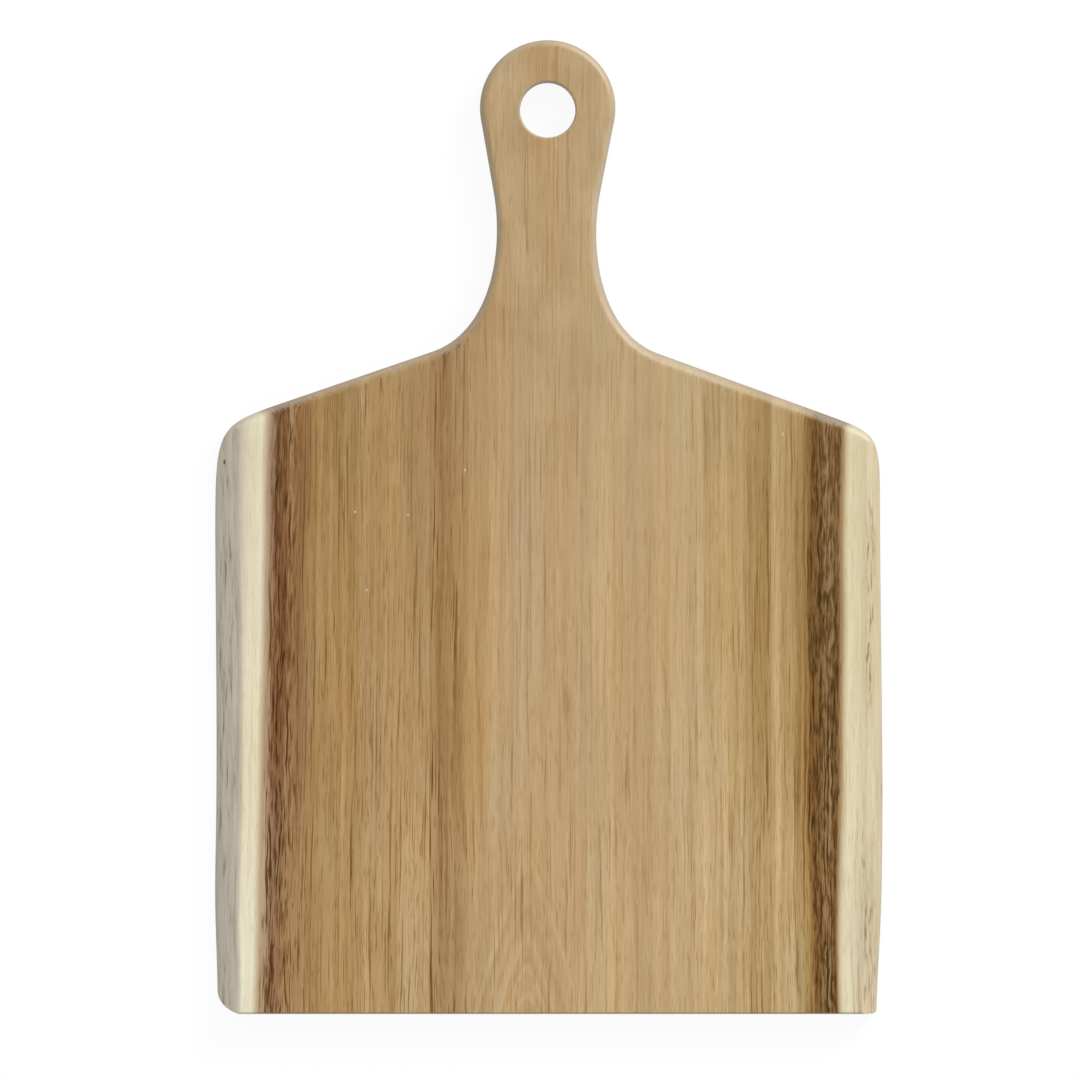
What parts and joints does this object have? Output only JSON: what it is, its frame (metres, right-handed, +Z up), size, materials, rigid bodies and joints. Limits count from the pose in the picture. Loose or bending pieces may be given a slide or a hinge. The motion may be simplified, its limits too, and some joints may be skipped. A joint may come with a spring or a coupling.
{
  "type": "serving board",
  "caption": "Paddle-shaped hardwood serving board of edge-glued staves with live edges, rounded shoulders and a hanging hole in its handle.",
  "frame": {"origin": "centre of the board's bounding box, on the underside that it rests on", "axes": "+Y along the grain towards the handle, +Z up out of the serving face, +X to the right as seen from above"},
  "size_m": [0.3013, 0.4384, 0.015],
  "materials": {
    "live_edge_wood_left": "oiled, satin, with grey bare wane",
    "heartwood": "oiled, satin",
    "live_edge_wood_right": "oiled, satin",
    "glue": "cured wood glue, flush"
  },
  "bodies": {
    "root": {"left_stave": "live_edge_wood_left", "left_glue_line": "glue", "centre_stave": "heartwood", "right_glue_line": "glue", "right_stave": "live_edge_wood_right"}
  },
  "joints": []
}
